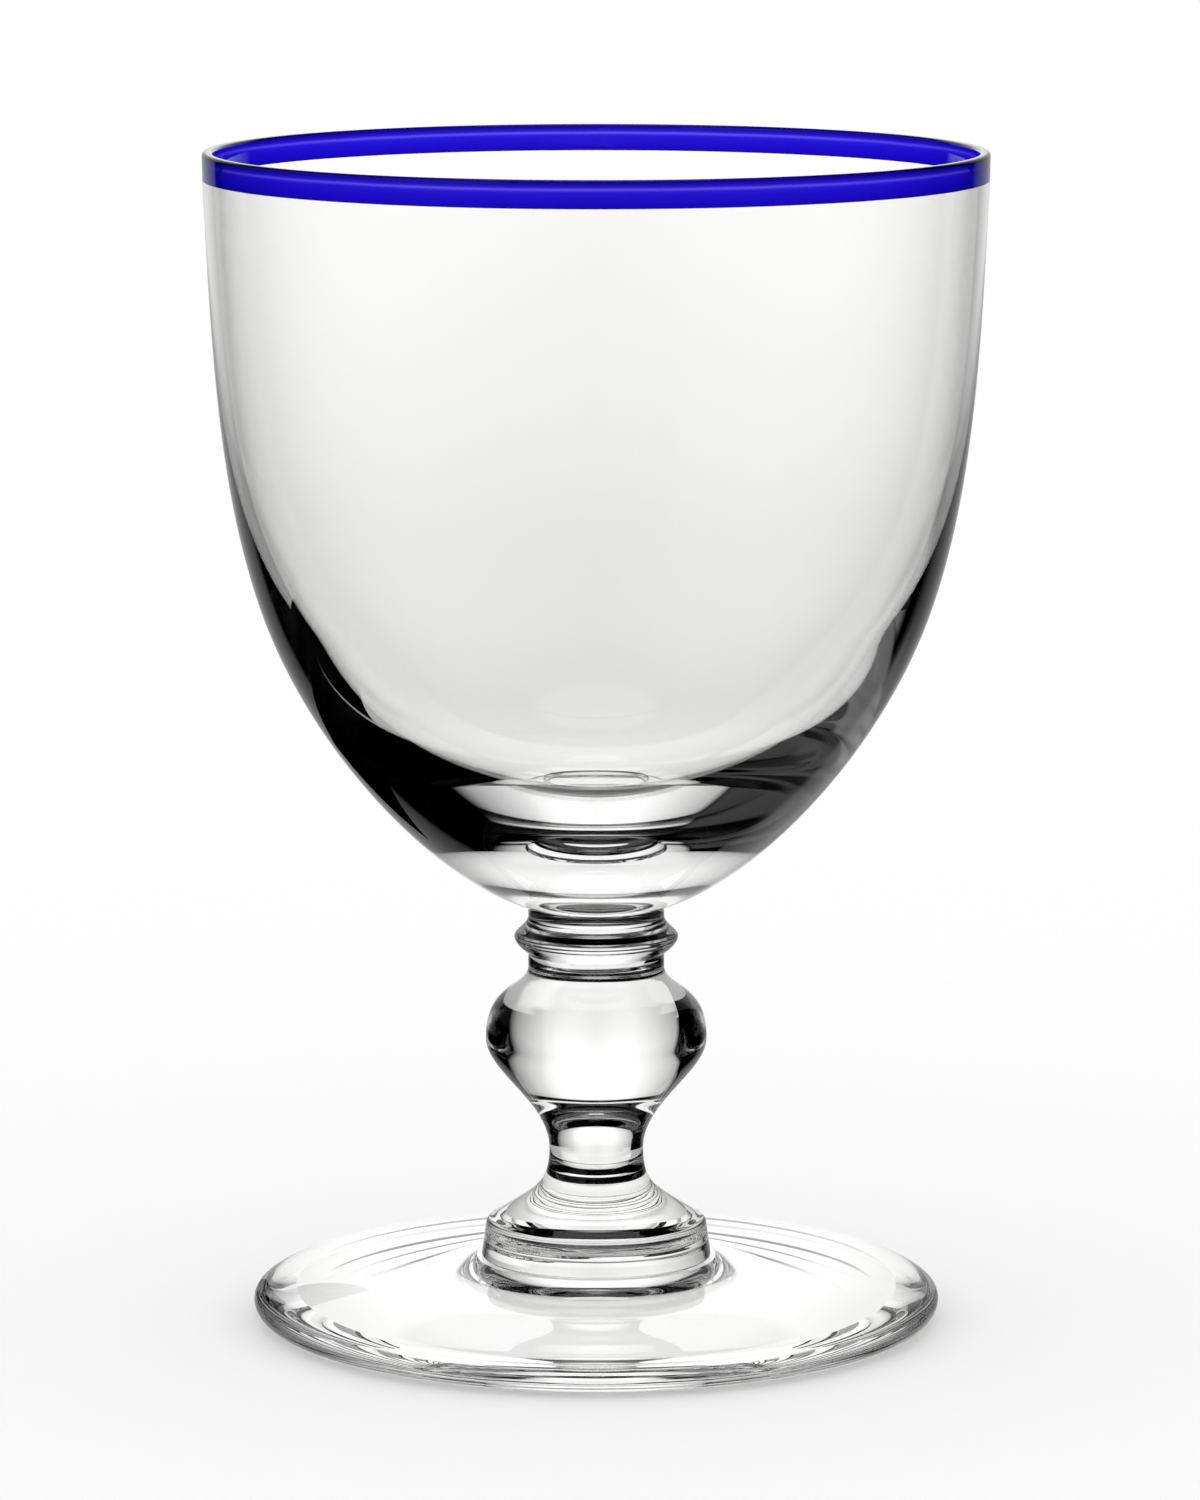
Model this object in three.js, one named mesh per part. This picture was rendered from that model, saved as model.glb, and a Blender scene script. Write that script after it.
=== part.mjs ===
// A stemmed water glass with a coloured rim, turned about the Z axis.
// Millimetres, +Z up, standing on z = 0 with its axis at the origin.
import * as THREE from 'three';

// Smoothness of the turned surfaces.
const FACETS = 64;
const LONG_CURVE_STEPS = 12;
const SHORT_CURVE_STEPS = 7;
const ROUNDING_STEPS = 5;

// Foot: a disc with a rolled edge, a coned top that rises to a mound under the pad, and a dished underside.
const FOOT_RADIUS = 41.15;
const FOOT_EDGE_LEVEL = 2.3;
const FOOT_EDGE_TOP = 4.43;
const FOOT_EDGE_INSET = 3.2;
const FOOT_EDGE_LEAN = 78.6;
const FOOT_EDGE_UPPER = { startLean: FOOT_EDGE_LEAN, startPull: 0.41, endLean: 0, endPull: 0.353 };
const FOOT_LOWER_INSET = 2.8;
const FOOT_EDGE_LOWER = { startLean: 0, startPull: 0.356, endLean: -90, endPull: 0.385 };
const FOOT_HEIGHT = 7.3;
const FOOT_SEAT_MARGIN = 0.56;
const FOOT_SKIRT_CURVE = { startLean: 55.2, startPull: 0.147, endLean: FOOT_EDGE_LEAN, endPull: 0.589 };
const REST_RING_WIDTH = 3;
const UNDERSIDE_RISE = 2.92;
const UNDERSIDE_CURVE = { startLean: 90, startPull: 0.519, endLean: 76.7, endPull: 0.391 };

// Pad: the step between the foot and the stem.
const PAD_RADIUS = 13.78;
const PAD_HEIGHT = 5.29;
const PAD_SIDE_DRAFT = 0.555;
const PAD_LOWER_ROUND = 0.27;
const PAD_SHOULDER_DROP = 1.21;
const PAD_SHOULDER_LEAN = 56.7;
const PAD_SIDE_LEAN = 13.3;
const PAD_SHOULDER_CURVE = {
  startLean: PAD_SHOULDER_LEAN, startPull: 0.421,
  endLean: PAD_SIDE_LEAN, endPull: 0.303,
};

// Stem: flare, waist and knop, from the pad up to the collar.
const FLARE_RADIUS = 11.72;
const FLARE_CURVE = { startLean: 0, startPull: 0.484, endLean: PAD_SHOULDER_LEAN, endPull: 0.478 };
const WAIST_RADIUS = 5.64;
const WAIST_ABOVE_PAD = 7.85;
const KNOP_RADIUS = 13.25;
const KNOP_ABOVE_WAIST = 13.51;
const KNOP_LOWER_CURVE = { startLean: 0, startPull: 0.256, endLean: 0, endPull: 0.362 };
const KNOP_UPPER_CURVE = { startLean: 0, startPull: 0.29, endLean: 0, endPull: 0.645 };
const NECK_RADIUS = 8.14;
const NECK_ABOVE_KNOP = 8.75;
const STEM_NECK_HEIGHT = 0.75;

// Collar: a raised ring between two short necks.
const COLLAR_RADIUS = 9.8;
const COLLAR_LOWER_NECK = 0.8;
const COLLAR_RING_LOWER = 2;
const COLLAR_RING_UPPER = 2.7;
const COLLAR_UPPER_NECK = 1;
const COLLAR_LOWER_CURVE = { startLean: 0, startPull: 0.35, endLean: -33, endPull: 0.06 };
const COLLAR_UPPER_CURVE = { startLean: -6, startPull: 0.4, endLean: 0, endPull: 0.26 };

// Bowl: outer curve in two stretches that meet at its middle, and an inner curve that leaves a thick floor.
const BOWL_HEIGHT = 86.85;
const BOWL_RIM_RADIUS = 46.25;
const BOWL_MID_RADIUS = 39.6;
const BOWL_MID_RISE = 35.4;
const BOWL_RIM_LEAN = -2.6;
const BOWL_MID_LEAN = -19.3;
const BOWL_OUTER_UPPER = { startLean: BOWL_RIM_LEAN, startPull: 0.38, endLean: BOWL_MID_LEAN, endPull: 0.3 };
const BOWL_OUTER_LOWER = { startLean: BOWL_MID_LEAN, startPull: 0.366, endLean: -73.4, endPull: 0.249 };
const WALL_AT_RIM = 1.3;
const WALL_AT_MID = 3.33;
const BOWL_FLOOR = 11.25;
const INSIDE_MID_LEAN = -27;
const BOWL_INNER_UPPER = { startLean: BOWL_RIM_LEAN, startPull: 0.38, endLean: INSIDE_MID_LEAN, endPull: 0.3 };
const BOWL_INNER_LOWER = { startLean: INSIDE_MID_LEAN, startPull: 0.44, endLean: -90, endPull: 0.364 };

// Rim band: the coloured lip, a little proud of the bowl at its top, with both corners rounded.
const BAND_HEIGHT = 3.2;
const BAND_FLARE = 0.05;
const LIP_ROUND = 0.45;

// Levels of the joints between the pieces, from the table up.
const PAD_BASE = FOOT_HEIGHT;
const STEM_BASE = PAD_BASE + PAD_HEIGHT;
const WAIST_LEVEL = STEM_BASE + WAIST_ABOVE_PAD;
const KNOP_LEVEL = WAIST_LEVEL + KNOP_ABOVE_WAIST;
const STEM_NECK_LEVEL = KNOP_LEVEL + NECK_ABOVE_KNOP;
const COLLAR_BASE = STEM_NECK_LEVEL + STEM_NECK_HEIGHT;
const COLLAR_RING_BASE = COLLAR_BASE + COLLAR_LOWER_NECK;
const COLLAR_LEVEL = COLLAR_RING_BASE + COLLAR_RING_LOWER;
const COLLAR_RING_TOP = COLLAR_LEVEL + COLLAR_RING_UPPER;
const BOWL_BASE = COLLAR_RING_TOP + COLLAR_UPPER_NECK;
const BOWL_MID_LEVEL = BOWL_BASE + BOWL_MID_RISE;
const BAND_BASE = BOWL_BASE + BOWL_HEIGHT;
const LIP_LEVEL = BAND_BASE + BAND_HEIGHT;

// Points of a profile nearer to each other than this are one point.
const SAME_POINT = 1e-4;

const at = (radius, height) => new THREE.Vector2(radius, height);

// Unit step down the profile, turned outward from straight down by the given degrees.
function heading(lean) {
  const angle = THREE.MathUtils.degToRad(lean);
  return at(Math.sin(angle), -Math.cos(angle));
}

// Smooth stretch of profile from an upper point to a lower one, listed from the top down.
function stretchDown(upper, lower, shape, steps) {
  const span = upper.distanceTo(lower);
  const leave = heading(shape.startLean).multiplyScalar(shape.startPull * span).add(upper);
  const arrive = heading(shape.endLean).multiplyScalar(-shape.endPull * span).add(lower);
  return new THREE.CubicBezierCurve(upper, leave, arrive, lower).getPoints(steps);
}

// The same stretch listed from the bottom up, as the outer profiles run.
function stretchUp(upper, lower, shape, steps) {
  return stretchDown(upper, lower, shape, steps).reverse();
}

// Part of a circle, in degrees from straight outward, turning upward.
function rounding(centre, radius, from, to, steps) {
  const start = THREE.MathUtils.degToRad(from);
  const end = THREE.MathUtils.degToRad(to);
  return new THREE.EllipseCurve(centre.x, centre.y, radius, radius, start, end, end < start).getPoints(steps);
}

// Join stretches of profile and drop points that repeat.
function profile(...stretches) {
  const points = [];
  for (const point of stretches.flat()) {
    const last = points[points.length - 1];
    if (!last || last.distanceTo(point) > SAME_POINT) {
      points.push(point);
    }
  }
  return points;
}

function clearGlass() {
  return new THREE.MeshStandardMaterial({ color: 0xf1f4f4, roughness: 0.03, metalness: 0 });
}

function cobaltGlass() {
  return new THREE.MeshStandardMaterial({ color: 0x1e10b4, roughness: 0.04, metalness: 0 });
}

// Turn a profile about Z into a named piece.
function turned(name, points, material) {
  const geometry = new THREE.LatheGeometry(points, FACETS);
  geometry.rotateX(Math.PI / 2);
  const mesh = new THREE.Mesh(geometry, material);
  mesh.name = name;
  return mesh;
}

function foot() {
  const restOuter = at(FOOT_RADIUS - FOOT_LOWER_INSET, 0);
  const restInner = at(restOuter.x - REST_RING_WIDTH, 0);
  const widest = at(FOOT_RADIUS, FOOT_EDGE_LEVEL);
  const edgeTop = at(FOOT_RADIUS - FOOT_EDGE_INSET, FOOT_EDGE_TOP);
  const seat = at(PAD_RADIUS + FOOT_SEAT_MARGIN, FOOT_HEIGHT);
  const points = profile(
    stretchDown(at(0, UNDERSIDE_RISE), restInner, UNDERSIDE_CURVE, SHORT_CURVE_STEPS),
    stretchUp(widest, restOuter, FOOT_EDGE_LOWER, ROUNDING_STEPS),
    stretchUp(edgeTop, widest, FOOT_EDGE_UPPER, ROUNDING_STEPS),
    stretchUp(seat, edgeTop, FOOT_SKIRT_CURVE, LONG_CURVE_STEPS),
    [at(0, FOOT_HEIGHT)],
  );
  return turned('foot', points, clearGlass());
}

function footPad() {
  const lowerRound = at(PAD_RADIUS - PAD_LOWER_ROUND, PAD_BASE + PAD_LOWER_ROUND);
  const sideTop = at(PAD_RADIUS - PAD_SIDE_DRAFT, STEM_BASE - PAD_SHOULDER_DROP);
  const points = profile(
    [at(0, PAD_BASE)],
    rounding(lowerRound, PAD_LOWER_ROUND, -90, PAD_SIDE_LEAN, ROUNDING_STEPS),
    stretchUp(at(FLARE_RADIUS, STEM_BASE), sideTop, PAD_SHOULDER_CURVE, ROUNDING_STEPS),
    [at(0, STEM_BASE)],
  );
  return turned('foot_pad', points, clearGlass());
}

function stem() {
  const waist = at(WAIST_RADIUS, WAIST_LEVEL);
  const knop = at(KNOP_RADIUS, KNOP_LEVEL);
  const neck = at(NECK_RADIUS, STEM_NECK_LEVEL);
  const points = profile(
    [at(0, STEM_BASE)],
    stretchUp(waist, at(FLARE_RADIUS, STEM_BASE), FLARE_CURVE, SHORT_CURVE_STEPS),
    stretchUp(knop, waist, KNOP_LOWER_CURVE, LONG_CURVE_STEPS),
    stretchUp(neck, knop, KNOP_UPPER_CURVE, LONG_CURVE_STEPS),
    [at(NECK_RADIUS, COLLAR_BASE), at(0, COLLAR_BASE)],
  );
  return turned('stem', points, clearGlass());
}

function collar() {
  const ring = at(COLLAR_RADIUS, COLLAR_LEVEL);
  const points = profile(
    [at(0, COLLAR_BASE), at(NECK_RADIUS, COLLAR_BASE)],
    stretchUp(ring, at(NECK_RADIUS, COLLAR_RING_BASE), COLLAR_LOWER_CURVE, SHORT_CURVE_STEPS),
    stretchUp(at(NECK_RADIUS, COLLAR_RING_TOP), ring, COLLAR_UPPER_CURVE, SHORT_CURVE_STEPS),
    [at(NECK_RADIUS, BOWL_BASE), at(0, BOWL_BASE)],
  );
  return turned('collar', points, clearGlass());
}

function bowl() {
  const base = at(NECK_RADIUS, BOWL_BASE);
  const mid = at(BOWL_MID_RADIUS, BOWL_MID_LEVEL);
  const top = at(BOWL_RIM_RADIUS, BAND_BASE);
  const insideTop = at(BOWL_RIM_RADIUS - WALL_AT_RIM, BAND_BASE);
  const insideMid = at(BOWL_MID_RADIUS - WALL_AT_MID, BOWL_MID_LEVEL);
  const floor = at(0, BOWL_BASE + BOWL_FLOOR);
  const points = profile(
    [at(0, BOWL_BASE)],
    stretchUp(mid, base, BOWL_OUTER_LOWER, LONG_CURVE_STEPS),
    stretchUp(top, mid, BOWL_OUTER_UPPER, LONG_CURVE_STEPS),
    stretchDown(insideTop, insideMid, BOWL_INNER_UPPER, LONG_CURVE_STEPS),
    stretchDown(insideMid, floor, BOWL_INNER_LOWER, LONG_CURVE_STEPS),
  );
  return turned('bowl', points, clearGlass());
}

function rimBand() {
  const outerBase = at(BOWL_RIM_RADIUS, BAND_BASE);
  const innerBase = at(BOWL_RIM_RADIUS - WALL_AT_RIM, BAND_BASE);
  const roundingLevel = LIP_LEVEL - LIP_ROUND;
  const outerCorner = at(outerBase.x + BAND_FLARE - LIP_ROUND, roundingLevel);
  const innerCorner = at(innerBase.x + BAND_FLARE + LIP_ROUND, roundingLevel);
  const points = profile(
    [outerBase],
    rounding(outerCorner, LIP_ROUND, 0, 90, ROUNDING_STEPS),
    rounding(innerCorner, LIP_ROUND, 90, 180, ROUNDING_STEPS),
    [innerBase, outerBase],
  );
  return turned('rim_band', points, cobaltGlass());
}

const waterGlass = new THREE.Group();
waterGlass.name = 'water_glass';
waterGlass.add(foot(), footPad(), stem(), collar(), bowl(), rimBand());

export default waterGlass;
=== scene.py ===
import math

import bpy
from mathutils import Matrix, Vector


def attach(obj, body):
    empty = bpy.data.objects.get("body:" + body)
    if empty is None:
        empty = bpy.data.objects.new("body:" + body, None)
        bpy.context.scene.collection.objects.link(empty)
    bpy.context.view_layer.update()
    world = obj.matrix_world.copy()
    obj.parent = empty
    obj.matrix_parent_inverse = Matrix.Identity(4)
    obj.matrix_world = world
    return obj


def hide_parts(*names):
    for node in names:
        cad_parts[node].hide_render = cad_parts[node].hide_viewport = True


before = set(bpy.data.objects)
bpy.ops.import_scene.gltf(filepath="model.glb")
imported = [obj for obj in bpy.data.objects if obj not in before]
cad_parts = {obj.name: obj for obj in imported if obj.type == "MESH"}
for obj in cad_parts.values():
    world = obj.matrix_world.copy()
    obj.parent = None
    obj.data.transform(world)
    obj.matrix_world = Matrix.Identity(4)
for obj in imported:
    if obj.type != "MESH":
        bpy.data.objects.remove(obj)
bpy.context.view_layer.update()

MM = 0.001

# Sizes in millimetres, the same as the solids.
FOOT_RADIUS = 41.15
FOOT_EDGE_LEVEL = 2.3
FOOT_EDGE_TOP = 4.43
FOOT_EDGE_INSET = 3.2
FOOT_EDGE_LEAN = 78.6
FOOT_EDGE_UPPER = (FOOT_EDGE_LEAN, 0.41, 0, 0.353)
FOOT_LOWER_INSET = 2.8
FOOT_EDGE_LOWER = (0, 0.356, -90, 0.385)
FOOT_HEIGHT = 7.3
FOOT_SEAT_MARGIN = 0.56
FOOT_SKIRT_CURVE = (55.2, 0.147, FOOT_EDGE_LEAN, 0.589)
REST_RING_WIDTH = 3.0
UNDERSIDE_RISE = 2.92
UNDERSIDE_CURVE = (90, 0.519, 76.7, 0.391)

PAD_RADIUS = 13.78
PAD_HEIGHT = 5.29
PAD_SIDE_DRAFT = 0.555
PAD_LOWER_ROUND = 0.27
PAD_SHOULDER_DROP = 1.21
PAD_SHOULDER_LEAN = 56.7
PAD_SIDE_LEAN = 13.3
PAD_SHOULDER_CURVE = (PAD_SHOULDER_LEAN, 0.421, PAD_SIDE_LEAN, 0.303)

FLARE_RADIUS = 11.72
FLARE_CURVE = (0, 0.484, PAD_SHOULDER_LEAN, 0.478)
WAIST_RADIUS = 5.64
WAIST_ABOVE_PAD = 7.85
KNOP_RADIUS = 13.25
KNOP_ABOVE_WAIST = 13.51
KNOP_LOWER_CURVE = (0, 0.256, 0, 0.362)
KNOP_UPPER_CURVE = (0, 0.29, 0, 0.645)
NECK_RADIUS = 8.14
NECK_ABOVE_KNOP = 8.75
STEM_NECK_HEIGHT = 0.75

COLLAR_RADIUS = 9.8
COLLAR_LOWER_NECK = 0.8
COLLAR_RING_LOWER = 2.0
COLLAR_RING_UPPER = 2.7
COLLAR_UPPER_NECK = 1.0
COLLAR_LOWER_CURVE = (0, 0.35, -33, 0.06)
COLLAR_UPPER_CURVE = (-6, 0.4, 0, 0.26)

BOWL_HEIGHT = 86.85
BOWL_RIM_RADIUS = 46.25
BOWL_MID_RADIUS = 39.6
BOWL_MID_RISE = 35.4
BOWL_RIM_LEAN = -2.6
BOWL_MID_LEAN = -19.3
BOWL_OUTER_UPPER = (BOWL_RIM_LEAN, 0.38, BOWL_MID_LEAN, 0.3)
BOWL_OUTER_LOWER = (BOWL_MID_LEAN, 0.366, -73.4, 0.249)
WALL_AT_RIM = 1.3
WALL_AT_MID = 3.33
BOWL_FLOOR = 11.25
INSIDE_MID_LEAN = -27
BOWL_INNER_UPPER = (BOWL_RIM_LEAN, 0.38, INSIDE_MID_LEAN, 0.3)
BOWL_INNER_LOWER = (INSIDE_MID_LEAN, 0.44, -90, 0.364)

BAND_HEIGHT = 3.2
BAND_FLARE = 0.05
LIP_ROUND = 0.45
BAND_GAP = 0.03

# Levels of the joints.
STEM_BASE = FOOT_HEIGHT + PAD_HEIGHT
WAIST_LEVEL = STEM_BASE + WAIST_ABOVE_PAD
KNOP_LEVEL = WAIST_LEVEL + KNOP_ABOVE_WAIST
STEM_NECK_LEVEL = KNOP_LEVEL + NECK_ABOVE_KNOP
COLLAR_BASE = STEM_NECK_LEVEL + STEM_NECK_HEIGHT
COLLAR_RING_BASE = COLLAR_BASE + COLLAR_LOWER_NECK
COLLAR_LEVEL = COLLAR_RING_BASE + COLLAR_RING_LOWER
COLLAR_RING_TOP = COLLAR_LEVEL + COLLAR_RING_UPPER
BOWL_BASE = COLLAR_RING_TOP + COLLAR_UPPER_NECK
BOWL_MID_LEVEL = BOWL_BASE + BOWL_MID_RISE
BAND_BASE = BOWL_BASE + BOWL_HEIGHT
LIP_LEVEL = BAND_BASE + BAND_HEIGHT

# Smoothness of the turned surfaces. The crease is in degrees. The last two are the least distances between
# points and from the axis, in millimetres.
SEGMENTS = 256
SHARP_CREASE = 9
CURVE_STEPS = 40
ROUND_STEPS = 16
SAME_POINT = 1e-5
ON_AXIS = 1e-6


def heading(lean):
    """Unit step down the profile, turned outward from straight down by the given degrees."""
    angle = math.radians(lean)
    return Vector((math.sin(angle), -math.cos(angle)))


def stretch_down(upper, lower, shape, steps=CURVE_STEPS):
    """Smooth stretch of profile from an upper point to a lower one."""
    start_lean, start_pull, end_lean, end_pull = shape
    a = Vector(upper)
    d = Vector(lower)
    span = (a - d).length
    b = a + heading(start_lean) * start_pull * span
    c = d - heading(end_lean) * end_pull * span
    points = []
    for k in range(steps + 1):
        t = k / steps
        s = 1 - t
        points.append(a * s ** 3 + b * 3 * t * s * s + c * 3 * t * t * s + d * t ** 3)
    return points


def stretch_up(upper, lower, shape, steps=CURVE_STEPS):
    return stretch_down(upper, lower, shape, steps)[::-1]


def straight(start, end, steps=CURVE_STEPS):
    """Straight stretch of profile, with points along it for the tool rings."""
    return [Vector(start).lerp(Vector(end), k / steps) for k in range(steps + 1)]


def rounding(centre, radius, start, end, steps=ROUND_STEPS):
    """Part of a circle, in degrees from straight outward, turning upward."""
    points = []
    for k in range(steps + 1):
        angle = math.radians(start + (end - start) * k / steps)
        points.append(Vector(centre) + Vector((math.cos(angle), math.sin(angle))) * radius)
    return points


def math_node(nodes, links, operation, *values):
    node = nodes.new("ShaderNodeMath")
    node.operation = operation
    for socket, value in zip(node.inputs, values):
        if isinstance(value, (int, float)):
            socket.default_value = value
        else:
            links.new(value, socket)
    return node.outputs["Value"]


def new_material(name):
    mat = bpy.data.materials.new(name)
    mat.use_nodes = True
    return mat, mat.node_tree.nodes, mat.node_tree.links


GLASS_IOR = 1.52


def polished_glass(nodes):
    """Shader of smooth see-through glass."""
    shader = nodes["Principled BSDF"]
    shader.inputs["Transmission Weight"].default_value = 1.0
    shader.inputs["Roughness"].default_value = 0.0
    shader.inputs["IOR"].default_value = GLASS_IOR
    return shader


# Clear glass: two faint tints that drift through it, and the shallow waves of hand-worked glass.
CLEAR_TINTS = [(0.3, (0.999, 0.998, 0.995)), (0.7, (0.992, 0.99, 0.978))]
TINT_DRIFT = 35
HAND_WAVES = 70
HAND_WAVE_HEIGHT = 0.0000025


def clear_glass():
    """Clear fire-polished glass."""
    mat, nodes, links = new_material("clear_glass")
    shader = polished_glass(nodes)
    place = nodes.new("ShaderNodeTexCoord").outputs["Object"]
    drift = nodes.new("ShaderNodeTexNoise")
    drift.inputs["Scale"].default_value = TINT_DRIFT
    links.new(place, drift.inputs["Vector"])
    colour_ramp = nodes.new("ShaderNodeValToRGB")
    links.new(drift.outputs["Fac"], colour_ramp.inputs["Fac"])
    for point, (where, colour) in zip(colour_ramp.color_ramp.elements, CLEAR_TINTS):
        point.position = where
        point.color = (*colour, 1)
    links.new(colour_ramp.outputs["Color"], shader.inputs["Base Color"])
    waves = nodes.new("ShaderNodeTexNoise")
    waves.inputs["Scale"].default_value = HAND_WAVES
    waves.inputs["Detail"].default_value = 0.0
    links.new(place, waves.inputs["Vector"])
    bump = nodes.new("ShaderNodeBump")
    bump.inputs["Distance"].default_value = HAND_WAVE_HEIGHT
    links.new(waves.outputs["Fac"], bump.inputs["Height"])
    links.new(bump.outputs["Normal"], shader.inputs["Normal"])
    return mat


# Colours up the cobalt band, from its base (0) to the lip (1): deep blue, darker towards the base, a
# lighter streak that is a painted highlight, and navy at the lip that is painted shade. Light loses colour
# in it as well, by the depth of glass it passes.
BAND_COLOURS_AND_PAINTED_LIGHT = [
    (0.0, (0.05, 0.022, 0.64)),
    (0.4, (0.1, 0.06, 0.76)),
    (0.57, (0.13, 0.1, 0.86)),
    (0.66, (0.75, 0.72, 1.0)),
    (0.73, (0.13, 0.1, 0.8)),
    (0.84, (0.08, 0.035, 0.5)),
    (0.95, (0.03, 0.01, 0.12)),
]
# How far and how finely the painted highlight and the painted shade at the lip wander up and down round
# the band.
PAINTED_LIGHT_WANDER = 0.05
PAINTED_LIGHT_WAVES = 90
COBALT_DEPTH_COLOUR = (0.2, 0.03, 0.9)
COBALT_DENSITY = 1700


def cobalt_glass():
    """Transparent cobalt-blue glass, darker where light passes through more of it, with a painted
    highlight streak and painted shade at the lip.
    """
    mat, nodes, links = new_material("cobalt_glass")
    shader = polished_glass(nodes)
    place = nodes.new("ShaderNodeTexCoord").outputs["Object"]
    split = nodes.new("ShaderNodeSeparateXYZ")
    links.new(place, split.inputs["Vector"])
    scale = 1 / (BAND_HEIGHT * MM)
    up = math_node(nodes, links, "MULTIPLY_ADD", split.outputs["Z"], scale, -BAND_BASE / BAND_HEIGHT)
    wander = nodes.new("ShaderNodeTexNoise")
    wander.inputs["Scale"].default_value = PAINTED_LIGHT_WAVES
    links.new(place, wander.inputs["Vector"])
    noise = wander.outputs["Fac"]
    shift = math_node(nodes, links, "MULTIPLY_ADD", noise, PAINTED_LIGHT_WANDER, -PAINTED_LIGHT_WANDER / 2)
    # Painted highlight and painted shade: the ramp lightens a streak below the lip and darkens the lip to
    # navy.
    colour_ramp = nodes.new("ShaderNodeValToRGB")
    links.new(math_node(nodes, links, "ADD", up, shift), colour_ramp.inputs["Fac"])
    points = colour_ramp.color_ramp.elements
    while len(points) < len(BAND_COLOURS_AND_PAINTED_LIGHT):
        points.new(1.0)
    for point, (where, colour) in zip(points, BAND_COLOURS_AND_PAINTED_LIGHT):
        point.position = where
        point.color = (*colour, 1)
    links.new(colour_ramp.outputs["Color"], shader.inputs["Base Color"])
    depth = nodes.new("ShaderNodeVolumeAbsorption")
    depth.inputs["Color"].default_value = (*COBALT_DEPTH_COLOUR, 1)
    depth.inputs["Density"].default_value = COBALT_DENSITY
    links.new(depth.outputs["Volume"], nodes["Material Output"].inputs["Volume"])
    return mat


def fused_joint():
    """The face where two pieces are fused: the glass runs on, so it shows nothing."""
    mat, nodes, links = new_material("fused_joint")
    nodes.remove(nodes["Principled BSDF"])
    shader = nodes.new("ShaderNodeBsdfTransparent")
    links.new(shader.outputs["BSDF"], nodes["Material Output"].inputs["Surface"])
    return mat


GLASS = clear_glass()
COBALT = cobalt_glass()
JOINT = fused_joint()


# Shallow rings left by the shaping tools: (level from, level to, depth, spacing), in millimetres.
TOOL_MARKS = [
    (FOOT_HEIGHT, STEM_BASE + 0.5, 0.0015, 0.8),
    (STEM_BASE, STEM_BASE + 5.5, 0.006, 0.8),
    (STEM_NECK_LEVEL - 1, COLLAR_RING_BASE + 0.5, 0.01, 1.1),
]
# How the rings wander round the glass: (amount, waves round it, shift for each millimetre of spacing).
# The amount and the shift are in radians.
RING_WANDER = [(0.9, 1, 40), (0.6, 3, 70)]


def tooled(radius, level, angle):
    """Radius with the tool rings, which wander a little and fade out at both ends of each stretch."""
    for low, high, depth, spacing in TOOL_MARKS:
        if low < level < high:
            fade = math.sin(math.pi * (level - low) / (high - low))
            wander = 0
            for amount, waves, shift in RING_WANDER:
                wander += amount * math.sin(waves * angle + shift * spacing)
            radius += depth * fade * math.sin(2 * math.pi * level / spacing + wander)
    return radius


def turned(name, stretches, node, materials, closed=False):
    """Turn stretches of profile about Z. Each stretch is (points, material index)."""
    outline = []
    kinds = []
    for points, kind in stretches:
        for point in points:
            if outline and (outline[-1] - Vector(point)).length < SAME_POINT:
                continue
            if outline:
                kinds.append(kind)
            outline.append(Vector(point))
    if closed:
        outline.pop()
    verts = []
    rings = []
    for point in outline:
        start = len(verts)
        if point.x < ON_AXIS:
            verts.append((0, 0, point.y * MM))
            rings.append([start] * SEGMENTS)
            continue
        for k in range(SEGMENTS):
            angle = 2 * math.pi * k / SEGMENTS
            radius = tooled(point.x, point.y, angle)
            verts.append((radius * math.cos(angle) * MM, radius * math.sin(angle) * MM, point.y * MM))
        rings.append(list(range(start, start + SEGMENTS)))
    if closed:
        rings.append(rings[0])
    faces = []
    face_kinds = []
    for low, high, kind in zip(rings, rings[1:], kinds):
        for k in range(SEGMENTS):
            n = (k + 1) % SEGMENTS
            corner = [low[k], low[n], high[n], high[k]]
            faces.append(list(dict.fromkeys(corner)))
            face_kinds.append(kind)
    mesh = bpy.data.meshes.new(name)
    mesh.from_pydata(verts, [], faces)
    for mat in materials:
        mesh.materials.append(mat)
    mesh.polygons.foreach_set("material_index", face_kinds)
    mesh.shade_smooth()
    mesh.set_sharp_from_angle(angle=math.radians(SHARP_CREASE))
    mesh.update()
    piece = bpy.data.objects.new(name, mesh)
    bpy.context.scene.collection.objects.link(piece)
    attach(piece, "root")
    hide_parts(node)


def axis(level):
    return Vector((0, level))


def foot():
    rest_outer = Vector((FOOT_RADIUS - FOOT_LOWER_INSET, 0))
    rest_inner = rest_outer - Vector((REST_RING_WIDTH, 0))
    widest = (FOOT_RADIUS, FOOT_EDGE_LEVEL)
    edge_top = (FOOT_RADIUS - FOOT_EDGE_INSET, FOOT_EDGE_TOP)
    seat = (PAD_RADIUS + FOOT_SEAT_MARGIN, FOOT_HEIGHT)
    joint = (PAD_RADIUS - PAD_LOWER_ROUND, FOOT_HEIGHT)
    turned("foot_disc", [
        (stretch_down(axis(UNDERSIDE_RISE), rest_inner, UNDERSIDE_CURVE), 0),
        (stretch_up(widest, rest_outer, FOOT_EDGE_LOWER), 0),
        (stretch_up(edge_top, widest, FOOT_EDGE_UPPER), 0),
        (stretch_up(seat, edge_top, FOOT_SKIRT_CURVE), 0),
        ([joint], 0),
        ([axis(FOOT_HEIGHT)], 1),
    ], "foot", [GLASS, JOINT])


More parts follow.
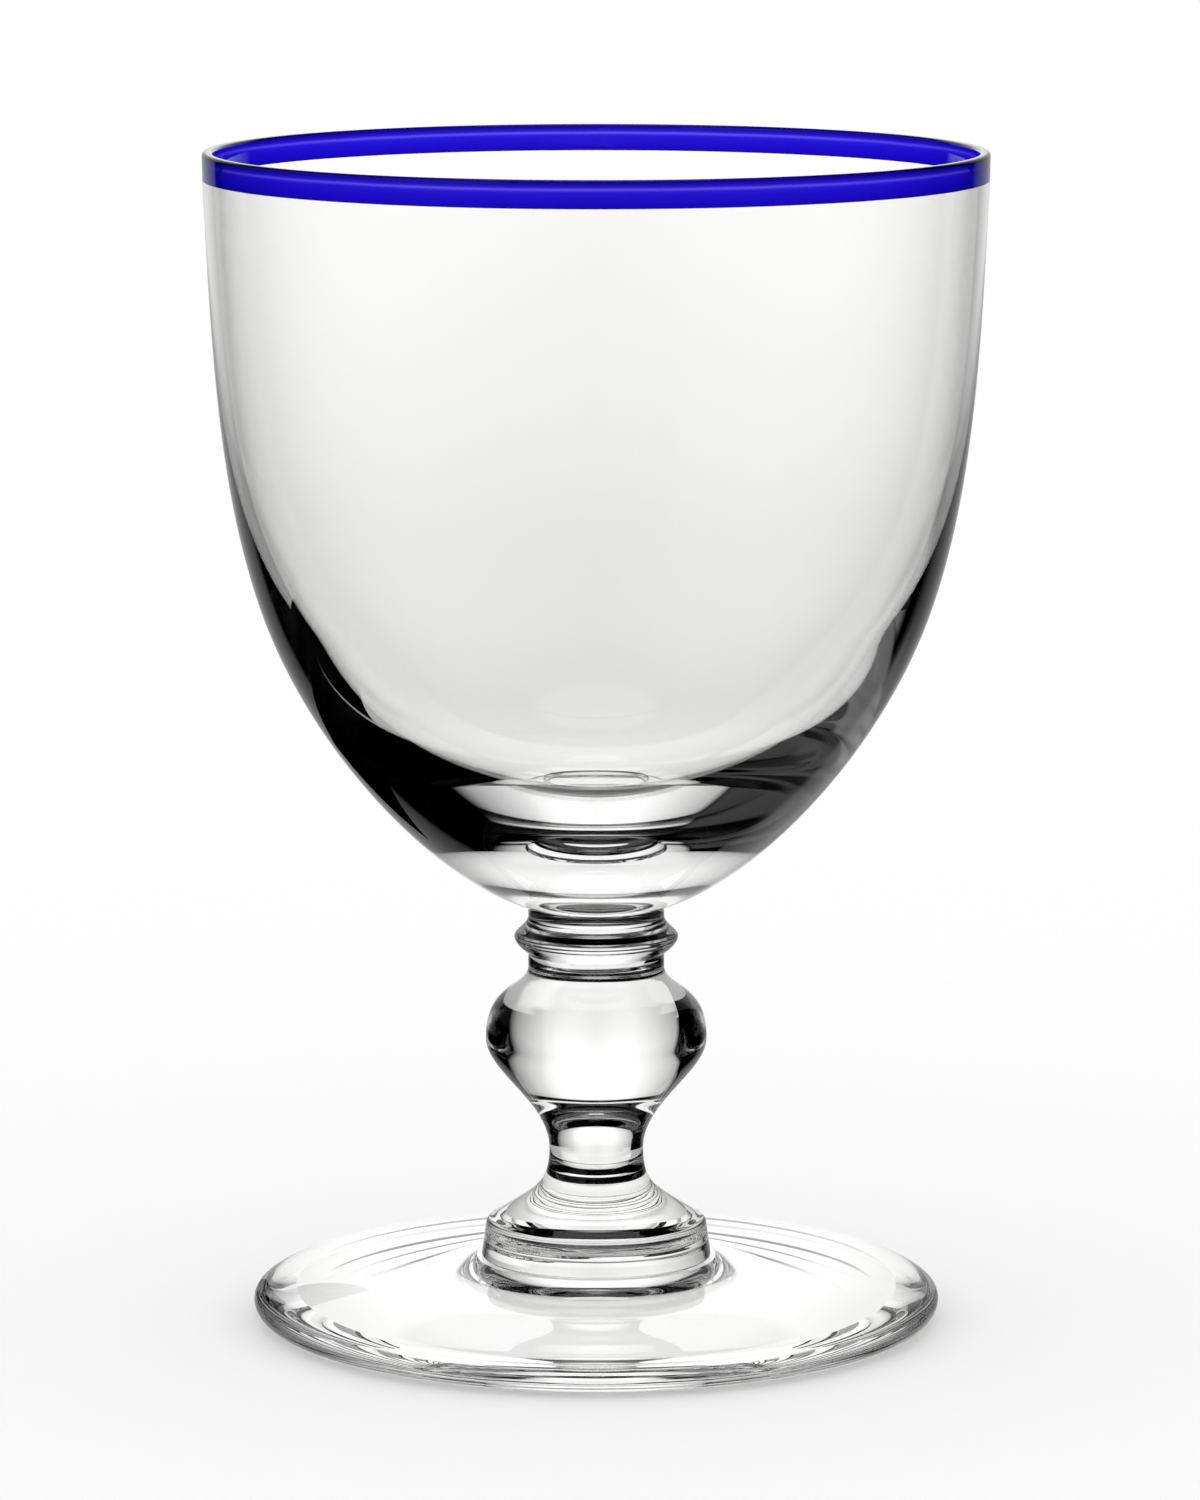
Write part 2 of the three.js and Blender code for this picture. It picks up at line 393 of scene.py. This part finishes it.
def foot_pad():
    lower = Vector((PAD_RADIUS - PAD_LOWER_ROUND, FOOT_HEIGHT + PAD_LOWER_ROUND))
    side_top = Vector((PAD_RADIUS - PAD_SIDE_DRAFT, STEM_BASE - PAD_SHOULDER_DROP))
    base_round = rounding(lower, PAD_LOWER_ROUND, -90, PAD_SIDE_LEAN)
    turned("stepped_pad", [
        ([axis(FOOT_HEIGHT), (lower.x, FOOT_HEIGHT)], 1),
        (base_round, 0),
        (straight(base_round[-1], side_top), 0),
        (stretch_up((FLARE_RADIUS, STEM_BASE), side_top, PAD_SHOULDER_CURVE), 0),
        ([axis(STEM_BASE)], 1),
    ], "foot_pad", [GLASS, JOINT])


def stem():
    waist = (WAIST_RADIUS, WAIST_LEVEL)
    knop = (KNOP_RADIUS, KNOP_LEVEL)
    turned("knop_stem", [
        ([axis(STEM_BASE), (FLARE_RADIUS, STEM_BASE)], 1),
        (stretch_up(waist, (FLARE_RADIUS, STEM_BASE), FLARE_CURVE), 0),
        (stretch_up(knop, waist, KNOP_LOWER_CURVE), 0),
        (stretch_up((NECK_RADIUS, STEM_NECK_LEVEL), knop, KNOP_UPPER_CURVE), 0),
        ([(NECK_RADIUS, COLLAR_BASE)], 0),
        ([axis(COLLAR_BASE)], 1),
    ], "stem", [GLASS, JOINT])


def collar():
    ring = (COLLAR_RADIUS, COLLAR_LEVEL)
    turned("collar_ring", [
        ([axis(COLLAR_BASE), (NECK_RADIUS, COLLAR_BASE)], 1),
        (stretch_up(ring, (NECK_RADIUS, COLLAR_RING_BASE), COLLAR_LOWER_CURVE), 0),
        (stretch_up((NECK_RADIUS, COLLAR_RING_TOP), ring, COLLAR_UPPER_CURVE), 0),
        ([(NECK_RADIUS, BOWL_BASE)], 0),
        ([axis(BOWL_BASE)], 1),
    ], "collar", [GLASS, JOINT])


def bowl():
    base = (NECK_RADIUS, BOWL_BASE)
    mid = (BOWL_MID_RADIUS, BOWL_MID_LEVEL)
    top_level = BAND_BASE - BAND_GAP
    inside_mid = (BOWL_MID_RADIUS - WALL_AT_MID, BOWL_MID_LEVEL)
    turned("clear_bowl", [
        ([axis(BOWL_BASE), base], 1),
        (stretch_up(mid, base, BOWL_OUTER_LOWER, 2 * CURVE_STEPS), 0),
        (stretch_up((BOWL_RIM_RADIUS, top_level), mid, BOWL_OUTER_UPPER), 0),
        (stretch_down((BOWL_RIM_RADIUS - WALL_AT_RIM, top_level), inside_mid, BOWL_INNER_UPPER), 0),
        (stretch_down(inside_mid, axis(BOWL_BASE + BOWL_FLOOR), BOWL_INNER_LOWER, 2 * CURVE_STEPS), 0),
    ], "bowl", [GLASS, JOINT])


def rim_band():
    outer = BOWL_RIM_RADIUS + BAND_FLARE - LIP_ROUND
    inner = BOWL_RIM_RADIUS - WALL_AT_RIM + BAND_FLARE + LIP_ROUND
    level = LIP_LEVEL - LIP_ROUND
    base = (BOWL_RIM_RADIUS, BAND_BASE)
    turned("blue_rim", [
        ([base], 0),
        (rounding((outer, level), LIP_ROUND, 0, 90), 0),
        (rounding((inner, level), LIP_ROUND, 90, 180), 0),
        ([(BOWL_RIM_RADIUS - WALL_AT_RIM, BAND_BASE), base], 0),
    ], "rim_band", [COBALT], closed=True)


foot()
foot_pad()
stem()
collar()
bowl()
rim_band()


# Studio as the glass shows it: a lit panel behind, a light overhead, two dim cards and a bright gap at the
# left, and black round them. Bearings are in degrees from the back, +Y, towards the right, +X.
# The light overhead leans back from straight above the glass.
OVERHEAD_TILT = 16
OVERHEAD_HALF_WIDTH = 15
# Lit openings in the black: (bearing from, bearing to, height from, height to, brightness), in degrees.
FRONT_CARD = (-152, -112, 3, 44, 0.17)
SIDE_CARD = (-115, -40, 8, 42, 0.055)
SIDE_GAP = (-102, -78, -11, 4, 1.0)
CARD_SOFT = 3
# Counts of reflections and of surfaces crossed are whole numbers, so these lie between two counts.
NONE_YET = 0.5
ONE_WALL = 3.5
MANY_REFLECTIONS = 5.5
# Panel, in metres: how far behind the glass, and its brightness (place across, level) and (height, level).
PANEL_BEHIND = 0.44
PANEL_ACROSS = [
    (-0.35, 0.0), (-0.315, 0.46), (-0.215, 0.74), (-0.145, 0.95), (-0.1, 1.09), (-0.05, 1.08), (0, 1.01),
    (0.05, 1.08), (0.1, 1.07), (0.145, 0.93), (0.175, 0.77), (0.254, 0.53), (0.32, 0.35), (0.4, 0.0),
]
PANEL_UPWARD = [
    (-0.6, 0.98), (-0.24, 0.98), (-0.13, 0.85), (-0.05, 0.9), (0.0, 0.93), (0.034, 0.985), (0.065, 1.04),
    (0.096, 1.1), (0.36, 1.14), (0.4, 0.0),
]
# Lighter patches low on the panel, in metres: (across from, across to, height from, height to, level).
# The right one adds its level. The left one is a least level, and only shows straight through the glass.
PANEL_PATCH_SOFT = 0.03
LOW_RIGHT_PATCH = (0.14, 0.34, -0.6, -0.1, 0.4)
LOW_LEFT_PATCH = (-0.38, -0.16, -0.6, -0.12, 0.85)
# Level of the panel in reflections off the outside of the glass (place across, share of the level).
MIRRORED_ACROSS = [(-0.35, 0.45), (-0.1, 0.5), (-0.06, 1.0), (0.06, 1.0), (0.1, 0.5), (0.4, 0.45)]


def between(nodes, links, value, low, high, soft=CARD_SOFT):
    """1 between low and high, with soft edges."""
    steps = []
    for edge, first, last in ((low, 0, 1), (high, 1, 0)):
        node = nodes.new("ShaderNodeMapRange")
        node.interpolation_type = "SMOOTHSTEP"
        node.inputs["From Min"].default_value = edge - soft
        node.inputs["From Max"].default_value = edge + soft
        node.inputs["To Min"].default_value = first
        node.inputs["To Max"].default_value = last
        links.new(value, node.inputs["Value"])
        steps.append(node.outputs["Result"])
    return math_node(nodes, links, "MULTIPLY", *steps)


def ramp(nodes, links, value, stops):
    """Piecewise straight curve through the stops, for a value in the same unit as the stops."""
    low = stops[0][0]
    span = stops[-1][0] - low
    place = math_node(nodes, links, "MULTIPLY_ADD", value, 1 / span, -low / span)
    node = nodes.new("ShaderNodeValToRGB")
    links.new(place, node.inputs["Fac"])
    points = node.color_ramp.elements
    while len(points) < len(stops):
        points.new(1.0)
    for point, (where, level) in zip(points, stops):
        point.position = (where - low) / span
        point.color = (level, level, level, 1)
    return node.outputs["Color"]


def in_degrees(nodes, links, value):
    return math_node(nodes, links, "MULTIPLY", value, math.degrees(1))


def bearing_of(nodes, links, place):
    """Bearing of a place or direction that is split into X, Y and Z."""
    angle = math_node(nodes, links, "ARCTAN2", place.outputs["X"], place.outputs["Y"])
    return in_degrees(nodes, links, angle)


def seen_in_glass(nodes, links):
    """1 for what the camera sees in or through the glass, 0 for all other light."""
    path = nodes.new("ShaderNodeLightPath").outputs
    bent = math_node(nodes, links, "MAXIMUM", path["Is Glossy Ray"], path["Is Transmission Ray"])
    direct = math_node(nodes, links, "LESS_THAN", path["Diffuse Depth"], NONE_YET)
    return math_node(nodes, links, "MULTIPLY", bent, direct)


def seen_straight_through(nodes, links):
    """1 for what the camera sees through the glass with no reflection on the way."""
    path = nodes.new("ShaderNodeLightPath").outputs
    unreflected = math_node(nodes, links, "LESS_THAN", path["Glossy Depth"], NONE_YET)
    return math_node(nodes, links, "MULTIPLY", path["Is Transmission Ray"], unreflected)


def seen_after_reflections(nodes, links, count):
    """1 for what the camera sees after more reflections than the count."""
    path = nodes.new("ShaderNodeLightPath").outputs
    return math_node(nodes, links, "GREATER_THAN", path["Glossy Depth"], count)


def surfaces_crossed(nodes):
    """How many surfaces of glass the light has passed through."""
    return nodes.new("ShaderNodeLightPath").outputs["Transmission Depth"]


def glow_where(mat, share, level):
    """Make a material glow at the level where the share is 1, and leave it clear where it is 0."""
    nodes = mat.node_tree.nodes
    links = mat.node_tree.links
    nodes.remove(nodes["Principled BSDF"])
    glow = nodes.new("ShaderNodeEmission")
    if isinstance(level, (int, float)):
        glow.inputs["Strength"].default_value = level
    else:
        links.new(level, glow.inputs["Strength"])
    clear = nodes.new("ShaderNodeBsdfTransparent")
    shown = nodes.new("ShaderNodeMixShader")
    links.new(share, shown.inputs["Fac"])
    links.new(clear.outputs["BSDF"], shown.inputs[1])
    links.new(glow.outputs["Emission"], shown.inputs[2])
    links.new(shown.outputs["Shader"], nodes["Material Output"].inputs["Surface"])


def studio():
    world = bpy.data.worlds.new("studio")
    bpy.context.scene.world = world
    world.use_nodes = True
    nodes = world.node_tree.nodes
    links = world.node_tree.links
    where = nodes.new("ShaderNodeTexCoord").outputs["Generated"]
    split = nodes.new("ShaderNodeSeparateXYZ")
    links.new(where, split.inputs["Vector"])
    bearing = bearing_of(nodes, links, split)
    height = in_degrees(nodes, links, math_node(nodes, links, "ARCSINE", split.outputs["Z"]))
    lamp = nodes.new("ShaderNodeVectorMath")
    lamp.operation = "DOT_PRODUCT"
    links.new(where, lamp.inputs[0])
    tilt = math.radians(OVERHEAD_TILT)
    lamp.inputs[1].default_value = (0, math.sin(tilt), math.cos(tilt))
    off_lamp = in_degrees(nodes, links, math_node(nodes, links, "ARCCOSINE", lamp.outputs["Value"]))
    room = between(nodes, links, off_lamp, -OVERHEAD_HALF_WIDTH, OVERHEAD_HALF_WIDTH)
    reflected = seen_after_reflections(nodes, links, NONE_YET)
    straight_through = seen_straight_through(nodes, links)
    for card, shows in ((FRONT_CARD, 1), (SIDE_CARD, reflected), (SIDE_GAP, straight_through)):
        left, right, low, high, level = card
        lit = math_node(
            nodes, links, "MULTIPLY",
            between(nodes, links, bearing, left, right),
            between(nodes, links, height, low, high),
        )
        lit = math_node(nodes, links, "MULTIPLY", lit, level)
        lit = math_node(nodes, links, "MULTIPLY", lit, shows)
        room = math_node(nodes, links, "MAXIMUM", room, lit)
    shown = nodes.new("ShaderNodeMix")
    shown.inputs["A"].default_value = 1
    links.new(seen_in_glass(nodes, links), shown.inputs["Factor"])
    links.new(room, shown.inputs["B"])
    links.new(shown.outputs["Result"], nodes["Background"].inputs["Strength"])
    nodes["Background"].inputs["Color"].default_value = (1, 1, 1, 1)


def sheet(name, verts, mat, faces=((0, 1, 2, 3),)):
    """Thin sheet that isn't part of the object."""
    mesh = bpy.data.meshes.new(name)
    mesh.from_pydata(verts, [], faces)
    mesh.materials.append(mat)
    piece = bpy.data.objects.new(name, mesh)
    bpy.context.scene.collection.objects.link(piece)


def panel_patch(nodes, links, place, patch):
    """Level of a soft-edged rectangle on the panel."""
    left, right, low, high, level = patch
    inside = math_node(
        nodes, links, "MULTIPLY",
        between(nodes, links, place.outputs["X"], left, right, PANEL_PATCH_SOFT),
        between(nodes, links, place.outputs["Z"], low, high, PANEL_PATCH_SOFT),
    )
    return math_node(nodes, links, "MULTIPLY", inside, level)


def backlight():
    """Panel that only shows in the glass."""
    mat, nodes, links = new_material("lit_panel")
    split = nodes.new("ShaderNodeSeparateXYZ")
    links.new(nodes.new("ShaderNodeNewGeometry").outputs["Position"], split.inputs["Vector"])
    level = math_node(
        nodes, links, "MULTIPLY",
        ramp(nodes, links, split.outputs["X"], PANEL_ACROSS),
        ramp(nodes, links, split.outputs["Z"], PANEL_UPWARD),
    )
    patch = panel_patch(nodes, links, split, LOW_RIGHT_PATCH)
    level = math_node(nodes, links, "ADD", level, patch)
    patch = panel_patch(nodes, links, split, LOW_LEFT_PATCH)
    patch = math_node(nodes, links, "MULTIPLY", patch, seen_straight_through(nodes, links))
    level = math_node(nodes, links, "MAXIMUM", level, patch)
    mirrored = nodes.new("ShaderNodeMix")
    outside = math_node(nodes, links, "LESS_THAN", surfaces_crossed(nodes), NONE_YET)
    links.new(outside, mirrored.inputs["Factor"])
    mirrored.inputs["A"].default_value = 1
    links.new(ramp(nodes, links, split.outputs["X"], MIRRORED_ACROSS), mirrored.inputs["B"])
    level = math_node(nodes, links, "MULTIPLY", level, mirrored.outputs["Result"])
    glow_where(mat, seen_in_glass(nodes, links), level)
    left, right = PANEL_ACROSS[0][0], PANEL_ACROSS[-1][0]
    low, high = PANEL_UPWARD[0][0], PANEL_UPWARD[-1][0]
    corners = ((left, low), (right, low), (right, high), (left, high))
    sheet("lit_panel", [(x, PANEL_BEHIND, z) for x, z in corners], mat)


# White table, in metres and degrees. The glass shows the panel and the room in its place, but stays clear
# where the table is seen straight through the foot, or through the bowl to either side of the panel.
TABLE_BACK = 0.95
TABLE_FRONT = -1.0
TABLE_SIDE = 0.8
TABLE_DROP = 0.0002
UNDER_FOOT = 0.043
UNDER_FOOT_SOFT = 0.002
PANEL_HALF_BEARING = 18
PANEL_EDGE_SOFT = 6
# Where else it shows straight through: (bearing from, bearing to, distance from, distance to, share).
# The last three lie close to the glass and are seen from above.
NEAR_SHARE = 0.5
STRIPS = [
    (-75, -37, 0.19, 0.45, 1),
    (100, 170, 0, 1.1, 1),
    (-190, -24, UNDER_FOOT, 0.19, NEAR_SHARE),
    (24, 190, UNDER_FOOT, 0.19, NEAR_SHARE),
    (-30, 30, UNDER_FOOT, 0.11, NEAR_SHARE),
]
STRIP_SOFT = 0.01
# Low black flag on the table that keeps the first strip out of the stem: bearings, radius and height.
LOW_FLAG = ((-80, -34), 0.1, 0.04)
# Grey cards round the foot, which only show after many reflections inside the glass: bearings and level.
FOOT_CARD_RADIUS = 0.062
FOOT_CARD_HEIGHT = 0.05
FOOT_CARDS = [((-130, -24), 0.4), ((24, 130), 0.4), ((130, 230), 0.7)]
ARC_STEPS = 24


def standing_arc(name, place, mat):
    """Upright sheet, curved round the glass."""
    (left, right), radius, height = place
    verts = []
    for k in range(ARC_STEPS + 1):
        angle = math.radians(left + (right - left) * k / ARC_STEPS)
        x, y = radius * math.sin(angle), radius * math.cos(angle)
        verts += [(x, y, 0), (x, y, height)]
    sheet(name, verts, mat, [[k, k + 2, k + 3, k + 1] for k in range(0, 2 * ARC_STEPS, 2)])


def low_flag():
    mat, nodes, links = new_material("low_flag")
    one_wall = math_node(nodes, links, "LESS_THAN", surfaces_crossed(nodes), ONE_WALL)
    hides = math_node(nodes, links, "MULTIPLY", one_wall, seen_in_glass(nodes, links))
    glow_where(mat, hides, 0)
    standing_arc("low_flag", LOW_FLAG, mat)


def foot_cards():
    for number, (bearings, level) in enumerate(FOOT_CARDS):
        name = f"foot_card_{number}"
        mat, nodes, links = new_material(name)
        many = seen_after_reflections(nodes, links, MANY_REFLECTIONS)
        glow_where(mat, math_node(nodes, links, "MULTIPLY", many, seen_in_glass(nodes, links)), level)
        standing_arc(name, (bearings, FOOT_CARD_RADIUS, FOOT_CARD_HEIGHT), mat)


def floor():
    mat, nodes, links = new_material("white_table")
    shader = nodes["Principled BSDF"]
    shader.inputs["Base Color"].default_value = (1, 1, 1, 1)
    shader.inputs["Roughness"].default_value = 1.0
    shader.inputs["Specular IOR Level"].default_value = 0.0
    place = nodes.new("ShaderNodeNewGeometry").outputs["Position"]
    split = nodes.new("ShaderNodeSeparateXYZ")
    links.new(place, split.inputs["Vector"])
    bearing = bearing_of(nodes, links, split)
    length = nodes.new("ShaderNodeVectorMath")
    length.operation = "LENGTH"
    links.new(place, length.inputs[0])
    under = between(nodes, links, length.outputs["Value"], -UNDER_FOOT, UNDER_FOOT, UNDER_FOOT_SOFT)
    ahead = between(nodes, links, bearing, -PANEL_HALF_BEARING, PANEL_HALF_BEARING, PANEL_EDGE_SOFT)
    aside = math_node(nodes, links, "SUBTRACT", 1, ahead)
    both_walls = math_node(nodes, links, "GREATER_THAN", surfaces_crossed(nodes), ONE_WALL)
    past_panel = math_node(nodes, links, "MULTIPLY", aside, both_walls)
    shown_white = math_node(nodes, links, "MAXIMUM", under, past_panel)
    for left, right, inner, outer, share in STRIPS:
        strip = math_node(
            nodes, links, "MULTIPLY",
            between(nodes, links, bearing, left, right),
            between(nodes, links, length.outputs["Value"], inner, outer, STRIP_SOFT),
        )
        strip = math_node(nodes, links, "MULTIPLY", strip, share)
        shown_white = math_node(nodes, links, "MAXIMUM", shown_white, strip)
    white_through = math_node(nodes, links, "MULTIPLY", shown_white, seen_straight_through(nodes, links))
    clear = nodes.new("ShaderNodeBsdfTransparent")
    white = nodes.new("ShaderNodeEmission")
    in_glass = nodes.new("ShaderNodeMixShader")
    links.new(white_through, in_glass.inputs["Fac"])
    links.new(clear.outputs["BSDF"], in_glass.inputs[1])
    links.new(white.outputs["Emission"], in_glass.inputs[2])
    shown = nodes.new("ShaderNodeMixShader")
    links.new(seen_in_glass(nodes, links), shown.inputs["Fac"])
    links.new(shader.outputs["BSDF"], shown.inputs[1])
    links.new(in_glass.outputs["Shader"], shown.inputs[2])
    links.new(shown.outputs["Shader"], nodes["Material Output"].inputs["Surface"])
    sheet("table_top", [
        (-TABLE_SIDE, TABLE_FRONT, -TABLE_DROP), (TABLE_SIDE, TABLE_FRONT, -TABLE_DROP),
        (TABLE_SIDE, TABLE_BACK, -TABLE_DROP), (-TABLE_SIDE, TABLE_BACK, -TABLE_DROP),
    ], mat)


# Camera, fitted to the photograph's rim and foot: places in metres, sensor and lens in millimetres.
EYE = (0, -0.82954, 0.19972)
AIM = (0.00045, 0, 0.0687)
SENSOR_WIDTH = 36
LENS = 169.34


def camera():
    data = bpy.data.cameras.new("camera")
    data.sensor_width = SENSOR_WIDTH
    data.lens = LENS
    eye = bpy.data.objects.new("camera", data)
    eye.location = EYE
    eye.rotation_euler = (Vector(AIM) - eye.location).to_track_quat("-Z", "Y").to_euler()
    bpy.context.scene.collection.objects.link(eye)
    bpy.context.scene.camera = eye


studio()
backlight()
low_flag()
foot_cards()
floor()
camera()

# Light passes many surfaces in thick glass, so more bounces are followed than usual.
MOST_BOUNCES = 48
MOST_REFLECTIONS = 24
MOST_CLEAR_FACES = 64

scene = bpy.context.scene
scene.view_settings.view_transform = "Standard"
scene.cycles.max_bounces = MOST_BOUNCES
scene.cycles.transmission_bounces = MOST_BOUNCES
scene.cycles.glossy_bounces = MOST_REFLECTIONS
scene.cycles.transparent_max_bounces = MOST_CLEAR_FACES
